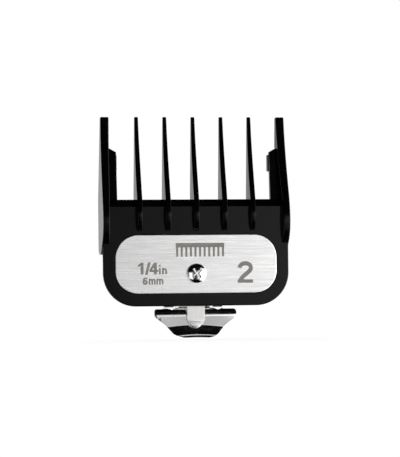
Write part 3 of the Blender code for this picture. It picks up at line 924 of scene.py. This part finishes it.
@dataclass
class SizePlate:
    """The brushed plate in the front recess, with laser-marked sizes and a comb sign."""

    width: float = 42.2
    low: float = 3.2
    height: float = 15.2
    radius: float = 5.9
    thickness: float = 0.8
    front: float = -4.35
    edge_round: float = 0.22
    mark_depth: float = 0.02

    def sheet(self) -> Piece:
        """The plate itself."""
        outline = rounded_rectangle(self.width, self.low, self.low + self.height, self.radius, self.radius)
        sheet = prism("size_plate", outline, Run.THROUGH, (self.front, self.front + self.thickness))
        rounded(sheet, self.edge_round, 3)
        hole = rod("label_hole", SCREW_BORE, (-FAR, FAR), (0, SCREW_HEIGHT), Run.THROUGH)
        combine(sheet, [hole], "DIFFERENCE")
        return finished(sheet, BRUSHED_STEEL, Body.FIXED, ["label_plate"])

    def stroke(self, name: str, outline: Outline) -> Piece:
        """One flat stroke, let a little way into the sheet's face."""
        depth = (self.front - self.mark_depth, self.front + self.mark_depth / 2)
        return prism(name, outline, Run.THROUGH, depth)

    def inked(self, name: str, outlines: Sequence[Outline]) -> Piece:
        """Joins flat strokes into one thin mark on the sheet's face."""
        first, *others = [self.stroke(f"{name}_{i}", outline) for i, outline in enumerate(outlines)]
        return combine(first, others, "UNION")

    def arch(self, x: Point2, height: Point2, weight: float) -> Outline:
        """The arch of an n or an m, from its stem at x[0] down to its foot at x[1]."""
        left, right = x[0] + weight / 2, x[1] - weight / 2
        base, top = height[0], height[1] - weight / 2
        over = [(left, top - 0.45), (left + 0.05, top + 0.06), (right, top + 0.2), (right, top - 0.6)]
        return thickened(bezier(over, 14) + [(right, base)], weight)

    def one(self, x: Point2, height: Point2, weight: float) -> list[Outline]:
        """A bold 1 with a flag."""
        right, top = x[1], height[1]
        flag = [(x[0], top - 0.62), (x[0], top - 1.14), (right - weight, top - 0.84)]
        flag += [(right - 0.1, top - 0.01), (right - 0.62, top - 0.01)]
        return [block((right - weight, right), height), flag]

    def four(self, x: Point2, height: Point2, weight: float) -> list[Outline]:
        """A bold 4: its stem, its bar and its slope."""
        base, top = height
        stem = x[1] - 0.4 - weight
        slope = [(stem + 0.05, top - 0.01), (x[0], base + 1.2), (x[0] + 0.01, base + 0.65)]
        slope += [(x[0] + 0.5, base + 0.9), (stem + 0.3, top - 0.75)]
        return [block((stem, stem + weight), height), block(x, (base + 0.62, base + 1.16)), slope]

    def six(self, x: Point2, height: Point2, weight: float) -> list[Outline]:
        """A 6: a bowl and the curve above it."""
        centre, left = (x[0] + x[1]) / 2, x[0] + weight / 2
        reach = centre - left
        middle = height[0] + weight / 2 + reach
        bowl = [(centre + reach * cos(a / 16 * pi), middle + reach * sin(a / 16 * pi)) for a in range(32)]
        bowl = thickened(bowl + [bowl[0], bowl[1]], weight)
        top = height[1] - weight / 2
        curve = [(left + 0.01, middle - 0.05), (left - 0.03, top - 0.35), (centre - 0.2, top + 0.2)]
        return [bowl, thickened(bezier(curve + [(x[1] - 0.12, top - 0.22)], 14), weight)]

    def two(self, x: Point2, height: Point2, weight: float) -> list[Outline]:
        """A bold 2: its bowl and neck in one stroke, and its foot."""
        left, right = x[0] + weight / 2, x[1] - weight / 2
        base, top = height
        shoulder = top - 0.3 * (top - base)
        bowl = [(left, shoulder), (left + 0.1, top - 0.13), (right - 0.05, top - 0.08), (right, shoulder)]
        neck = [(right, shoulder), (right, top - 0.52 * (top - base))]
        neck += [(left + 0.6, base + 2.1), (left + 0.1, base + 0.4)]
        stroke = thickened(bezier(bowl, 20)[:-1] + bezier(neck, 16), weight)
        return [stroke, block(x, (base, base + 0.8 * weight))]

    def numbers(self) -> list[Piece]:
        """The cutting length in inches and millimetres, and the comb's number."""
        tall, low, bold, fine = (8.23, 11.22), (8.23, 9.82), 0.76, 0.48
        slash = [(-13.5, 8.1), (-12.85, 8.1), (-12.0, 11.34), (-12.65, 11.34)]
        small, thin = (5.6, 7.13), 0.4
        inches = [*self.one((-15.3, -13.85), tall, bold), slash]
        inches += [*self.four((-12.3, -10.0), tall, bold)]
        inches += [block((-9.85, -9.37), low), block((-9.85, -9.37), (10.14, 10.6))]
        inches += [block((-9.04, -9.04 + fine), low), self.arch((-9.04, -7.74), low, fine)]
        millimetres = self.six((-14.1, -12.82), (5.56, 7.54), 0.46)
        for left in (-12.53, -10.53):
            millimetres += [block((left, left + thin), small)]
            millimetres += [self.arch((at, at + 1.1), small, thin) for at in (left, left + 0.7)]
        return [
            self.inked("mark_inches", inches),
            self.inked("mark_millimetres", millimetres),
            self.inked("mark_number", self.two((10.75, 14.78), (5.83, 11.36), 1.08)),
        ]

    def comb_sign(self) -> list[Piece]:
        """A generic comb pictogram: a back and a row of teeth."""
        spine = self.stroke("comb_sign_back", block((-5.4, 7.3), (15.1, 16.2)))
        tooth = self.stroke("comb_sign_teeth", block((-0.27, 0.27), (12.7, 15.2)))
        row = repeated(tooth, 11, 1.2, LASER_MARK)
        return [spine, reshape(row, lambda p: p + Vector((0.95, 0, 0)))]

    def build(self) -> None:
        """Makes the plate and its marks."""
        self.sheet()
        shape = bmesh.new()
        for mark in self.numbers() + self.comb_sign():
            shape.from_mesh(mark.data)
            bpy.data.objects.remove(mark)
        finished(from_bmesh("laser_marks", shape), LASER_MARK, Body.FIXED)


@dataclass
class ClampScrew:
    """The domed cross-head screw through plate, body and spring, and its nut."""

    seat: float = -4.45
    radius: float = 1.25
    head_radius: float = 2.5
    head_height: float = 1.3
    rim: float = 0.35
    end: float = -0.3
    arm_width: float = 0.95
    arm_length: float = 4.4
    arm_depth: float = 0.95
    turn: float = 40.0
    nut_flats: float = 5.0
    nut: Point2 = (-1.5, -0.3)
    sides: int = 72

    def cross_arm(self, number: int) -> Piece:
        """One arm of the cross recess, narrower at its bottom."""
        shape = bmesh.new()
        bmesh.ops.create_cube(shape, size=1)
        turn = Matrix.Rotation(radians(self.turn + 90 * number), 3, "Z")
        lay = Matrix.Rotation(pi / 2, 3, "X")
        for vertex in shape.verts:
            top = vertex.co.z > 0
            x = vertex.co.x * self.arm_length * (1 if top else 0.5)
            y = vertex.co.y * self.arm_width * (1 if top else 0.12)
            z = self.head_height + (0.6 if top else -self.arm_depth)
            spot = lay @ (turn @ Vector((x, y, z)))
            vertex.co = (spot + Vector((0, self.seat, SCREW_HEIGHT + BOTTOM))) * MM
        return from_bmesh(f"cross_arm_{number}", shape)

    def screw(self) -> Piece:
        """The screw, turned about its axis."""
        wide, tall = self.head_radius, self.head_height
        dome = bezier([(0.0, tall), (wide * 0.55, tall), (wide * 0.97, tall * 0.72), (wide, self.rim)], 16)
        tail = self.seat - self.end
        foot = [(wide - 0.08, 0.0), (self.radius, 0.0), (self.radius, tail + 0.2)]
        profile = dome + [(wide, 0.08)] + foot + [(self.radius - 0.2, tail), (0.0, tail)]
        middle = SCREW_HEIGHT + BOTTOM
        shape = bmesh.new()
        rings = []
        for radius, out in profile:
            count = self.sides if radius else 1
            angles = [2 * pi * i / count for i in range(count)]
            spots = [(radius * cos(a), self.seat - out, middle + radius * sin(a)) for a in angles]
            rings.append([shape.verts.new(Vector(spot) * MM) for spot in spots])
        for near, far in zip(rings, rings[1:]):
            for i in range(self.sides):
                j = (i + 1) % self.sides
                corners = [near[i % len(near)], near[j % len(near)], far[j % len(far)], far[i % len(far)]]
                shape.faces.new(list(dict.fromkeys(corners)))
        screw = from_bmesh("cross_screw", shape)
        combine(screw, [self.cross_arm(0), self.cross_arm(1)], "DIFFERENCE")
        return finished(screw, POLISHED_STEEL, Body.FIXED, ["centre_screw"])

    def hex_nut(self) -> Piece:
        """The nut behind the spring, its corners turned down."""
        corner = self.nut_flats / 2 / cos(pi / 6)
        nut = rod("rear_nut", corner, self.nut, (0, SCREW_HEIGHT), Run.THROUGH, 6)
        rounded(nut, 0.18, 2)
        bore = rod("nut_thread", self.radius + 0.1, (-FAR, FAR), (0, SCREW_HEIGHT), Run.THROUGH, 48)
        combine(nut, [bore], "DIFFERENCE")
        return finished(nut, POLISHED_STEEL, Body.FIXED, ["hex_nut"])

    def build(self) -> None:
        """Makes the screw and its nut."""
        self.screw()
        self.hex_nut()


# Clip ---------------------------------------------------------------------------------------


@dataclass
class TongueSpring:
    """The leaf spring: a flat base under the nut and a tongue on the thumb tab."""

    thickness: float = 0.5
    middle: float = -1.85
    rest: float = -2.65
    base: float = 8.0
    tongue: float = 4.6
    drop: float = 5.35

    def line(self) -> Outline:
        """The spring from the side."""
        jog = bezier([(self.middle, 1.4), (self.middle, 0.4), (self.rest, 0.9), (self.rest, -0.2)], 14)
        rest, drop = self.rest, self.drop
        end = bezier([(rest, -drop * 0.7), (rest, -drop * 0.8), (rest, -drop * 0.9), (rest - 0.03, -drop)], 8)
        return [(self.middle, SCREW_HEIGHT + self.base)] + jog + end

    def build(self) -> Piece:
        """Blanks the strip, rounds its edges and bakes its placement into the mesh."""
        half, base = self.tongue / 2, self.base / 2
        right = arc((0, -self.drop + half), half, -90, 0, 20)
        right += [(half, SCREW_HEIGHT - base - 2), (base, SCREW_HEIGHT - base * 0.6)]
        right += arc((0, SCREW_HEIGHT + base * 0.5), base, 0, 90, 20)
        line = thickened(self.line(), self.thickness)
        strip = prism("tongue_spring", line, Run.ACROSS, (-self.base, self.base))
        blank = prism("spring_blank", mirrored(right), Run.THROUGH, (-FAR, FAR))
        combine(strip, [blank], "INTERSECT")
        hole = rod("spring_hole", SCREW_BORE, (-FAR, FAR), (0, SCREW_HEIGHT), Run.THROUGH, 48)
        combine(strip, [hole], "DIFFERENCE")
        rounded(strip, 0.16, 3, 50)
        finished(strip, SPRING_STEEL, None, ["leaf_spring"])
        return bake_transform(strip)


@dataclass
class ThumbClip:
    """The sprung lever: thumb tab, neck, flanges and the hook that holds the blade."""

    sheet: float = 0.8
    tab_width: float = 21.5
    tab_drop: float = 8.3
    lip_height: float = -7.3
    arch: float = 1.15
    neck_width: float = 9.8
    front: float = -2.2
    hook_depth: float = 4.0
    hook_reach: float = 7.2
    web_drop: float = 0.9
    flange_radius: float = 1.7

    def line(self) -> Outline:
        """The bent sheet from the hook's tip to the thumb lip."""
        hook = self.hook_depth + self.sheet / 2
        web, bend = -self.web_drop, 1.2
        front = self.front + self.sheet / 2
        waist = -self.tab_drop * 0.58
        line = [(hook - 0.3, self.hook_reach), (hook, self.hook_reach - 1.1)]
        line += arc((hook - bend, web + bend), bend, 0, -90, 12)
        line += bezier([(-0.4, web), (front * 0.9, web), (front, web - 0.9), (front, -2.7)], 16)
        low = -self.tab_drop + self.sheet / 2
        curl = [(front + 0.25, waist), (front + 0.05, waist - 1.0), (front - 0.3, low), (front - 1.5, low)]
        line += bezier(curl, 16)
        lip = [(front - 1.5, low), (front - 2.1, low)]
        lip += [(front - 2.4, self.lip_height - 0.35), (front - 2.4, self.lip_height)]
        return line[:-1] + bezier(lip, 12)

    def tab_outline(self) -> Outline:
        """The thumb tab from the front: rounded shoulders, V notches and sides that run in."""
        half, neck = self.tab_width / 2, self.neck_width / 2
        top = -self.web_drop + self.sheet / 2
        right = [(neck, 1.0), (neck, top), (neck + 1.1, top - 0.5), (neck + 2.3, top - 0.1)]
        right += arc((half - 1, top - 1.1), 1.0, 90, 0, 10)
        right += [(half, -2.5), (half - 0.5, -3.1)]
        right += [(half - 2.9, -self.tab_drop * 0.59), (half - 4.9, -self.tab_drop * 0.87)]
        low = -self.tab_drop
        tip = [(half - 5.9, low * 0.93), (half - 7.3, low * 0.985), (3, low - 0.05), (0, low - 0.05)]
        return mirrored(right + bezier(tip, 12))

    def arched(self, sheet: Piece) -> Piece:
        """Lets the tab's curl hang lower towards its sides, as a pressed thumb grip does."""
        shape = bmesh.new()
        shape.from_mesh(sheet.data)
        for step in range(-11, 12):
            everything = shape.verts[:] + shape.edges[:] + shape.faces[:]
            bmesh.ops.bisect_plane(shape, geom=everything, plane_co=(step * MM, 0, 0), plane_no=(1, 0, 0))
        shape.to_mesh(sheet.data)
        shape.free()

        def hang(point: Vector) -> Vector:
            """Lowers a point of the tab by its distance from the middle."""
            share = min(1.0, max(0.0, (-2.9 - point.z) / 1.8))
            return point - Vector((0, 0, self.arch * share * (2 * point.x / self.tab_width) ** 2))

        return reshape(sheet, hang)

    def flange(self, side: int) -> Piece:
        """A side flange, folded up from the neck around the pin."""
        back = PIN_CENTRE[0]
        outline = [(back - self.flange_radius, -self.web_drop), (back + self.flange_radius, -self.web_drop)]
        outline += arc(PIN_CENTRE, self.flange_radius, 0, 180, 24)
        edges = (side * self.neck_width / 2, side * (self.neck_width / 2 - self.sheet))
        return prism(f"flange_{side}", outline, Run.ACROSS, edges)

    def nib(self, side: int) -> Piece:
        """A small raised nib that keeps the tongue in the middle of the tab."""
        shape = bmesh.new()
        centre = Vector((side * 3.3, self.front * 0.6, BOTTOM - 1.4)) * MM
        place = Matrix.Translation(centre)
        bmesh.ops.create_uvsphere(shape, u_segments=24, v_segments=16, radius=0.5 * MM, matrix=place)
        return from_bmesh(f"nib_{side}", shape)

    def build(self) -> Piece:
        """Stamps and bends the lever."""
        half, neck, split = self.tab_width / 2 + 1, self.neck_width / 2, -0.4
        line = thickened(self.line(), self.sheet)
        lever = self.arched(prism("thumb_clip", line, Run.ACROSS, (-half, half)))
        blank = prism("tab_blank", self.tab_outline(), Run.THROUGH, (-FAR, split))
        middle = box("neck_blank", (-neck, neck), (split - self.sheet, FAR), (-FAR, FAR))
        combine(blank, [middle], "UNION")
        combine(lever, [blank], "INTERSECT")
        rounded(lever, 0.22, 4, 50)
        parts = [tool for side in (-1, 1) for tool in (self.flange(side), self.nib(side))]
        combine(lever, parts, "UNION")
        bore = rod("lever_bore", PIN_BORE, (-FAR, FAR), PIN_CENTRE, Run.ACROSS)
        combine(lever, [bore], "DIFFERENCE")
        return finished(lever, POLISHED_STEEL, Body.CLIP, ["clip_lever"])


@dataclass
class ClipPin:
    """The steel pin that the clip turns on."""

    radius: float = 0.8
    length: float = 15.8

    def build(self) -> Piece:
        """Turns the pin with rounded ends."""
        ends = (-self.length / 2, self.length / 2)
        pin = rod("clip_pin", self.radius, ends, PIN_CENTRE, Run.ACROSS, 48)
        rounded(pin, self.radius * 0.3, 4)
        return finished(pin, POLISHED_STEEL, Body.FIXED, ["hinge_pin"])


# Studio -------------------------------------------------------------------------------------


@dataclass
class Studio:
    """Camera, pale floor and plain soft light."""

    yaw: float = 10.7
    tilt: float = -1.5
    distance: float = 650.0
    target: tuple[float, float, float] = (1.03, -4.2, -4.08)
    view_height: float = 117.7
    roll: float = -0.65
    floor_drop: float = 0.1
    left_panel: float = 1.1
    right_panel: float = 2.4
    fill: float = 0.002

    def camera(self) -> None:
        """Stands the camera a little to the left of the plate's normal."""
        data = bpy.data.cameras.new("camera")
        data.sensor_width = 36.0
        data.lens = 36.0 * self.distance / self.view_height
        data.clip_start, data.clip_end = 0.01, 20.0
        camera = bpy.data.objects.new("camera", data)
        bpy.context.scene.collection.objects.link(camera)
        yaw, tilt = radians(self.yaw), radians(self.tilt)
        back = Vector((-sin(yaw) * cos(tilt), -cos(yaw) * cos(tilt), sin(tilt)))
        camera.location = (Vector(self.target) + back * self.distance) * MM
        turn = (-back).to_track_quat("-Z", "Y").to_matrix() @ Matrix.Rotation(radians(self.roll), 3, "Z")
        camera.rotation_euler = turn.to_euler()
        bpy.context.scene.camera = camera

    def floor(self) -> None:
        """Lays the floor just under the lowest point."""
        shape = bmesh.new()
        height = CAD_BOX[0].z - self.floor_drop * MM
        corners = [(-4, -4, height), (4, -4, height), (4, 4, height), (-4, 4, height)]
        shape.faces.new([shape.verts.new(corner) for corner in corners])
        mesh = bpy.data.meshes.new("floor")
        shape.to_mesh(mesh)
        shape.free()
        floor = linked("floor", mesh)
        floor.data.materials.append(PALE_FLOOR.material())
        floor.visible_glossy = False

    def light(self) -> None:
        """A white surround behind; in front, a dark room with one long light and two panels."""
        world = bpy.data.worlds.new("studio")
        bpy.context.scene.world = world
        world.use_nodes = True
        board = Board(world.node_tree)
        toward = board.node("ShaderNodeTexCoord", {}, {}, "Generated")
        split = board.node("ShaderNodeSeparateXYZ", {}, {"Vector": toward})
        parts = split.socket.node.outputs
        x, y, z = (Signal(board, parts[i]) for i in range(3))
        behind = y.stretch(0.15, 0.40)
        above = z.stretch(0.09, 0.22, 1.0, 0.0)
        below = z.stretch(-0.62, -0.45)
        level = z.stretch(-0.20, -0.06, 0.46, 1.0)
        sideways = x.stretch(0.11, 0.26, 0.16, 1.98)
        left = x.stretch(-0.22, -0.34) * x.stretch(-0.90, -0.78)
        left = left * z.stretch(-0.75, -0.62) * z.stretch(0.12, 0.02)
        right = x.stretch(0.38, 0.52) * x.stretch(0.99, 0.90, 0.3, 1.0)
        right = right * z.stretch(-0.78, -0.62) * z.stretch(0.50, 0.35)
        front = above * below * level * sideways
        front = front + left * self.left_panel + right * self.right_panel + self.fill
        strength = behind + (1 - behind) * front
        seen = board.node("ShaderNodeLightPath", {}, {}, "Is Camera Ray")
        total = seen + (1 - seen) * strength
        background = world.node_tree.nodes["Background"]
        background.inputs["Color"].default_value = (1, 1, 1, 1)
        world.node_tree.links.new(total.socket, background.inputs["Strength"])

    def build(self) -> None:
        """Sets up the whole studio."""
        bpy.context.scene.view_settings.view_transform = "Standard"
        self.camera()
        self.floor()
        self.light()


def main() -> None:
    """Builds the sub-assemblies in order and reports each piece."""
    logging.basicConfig(level=logging.INFO, format="%(name)s %(message)s")
    Studio().build()
    for assembly in (MouldedBody(), SizePlate(), ClampScrew(), TongueSpring(), ThumbClip(), ClipPin()):
        assembly.build()
        log.info("%s is built", type(assembly).__name__)


if __name__ == "__main__":
    main()
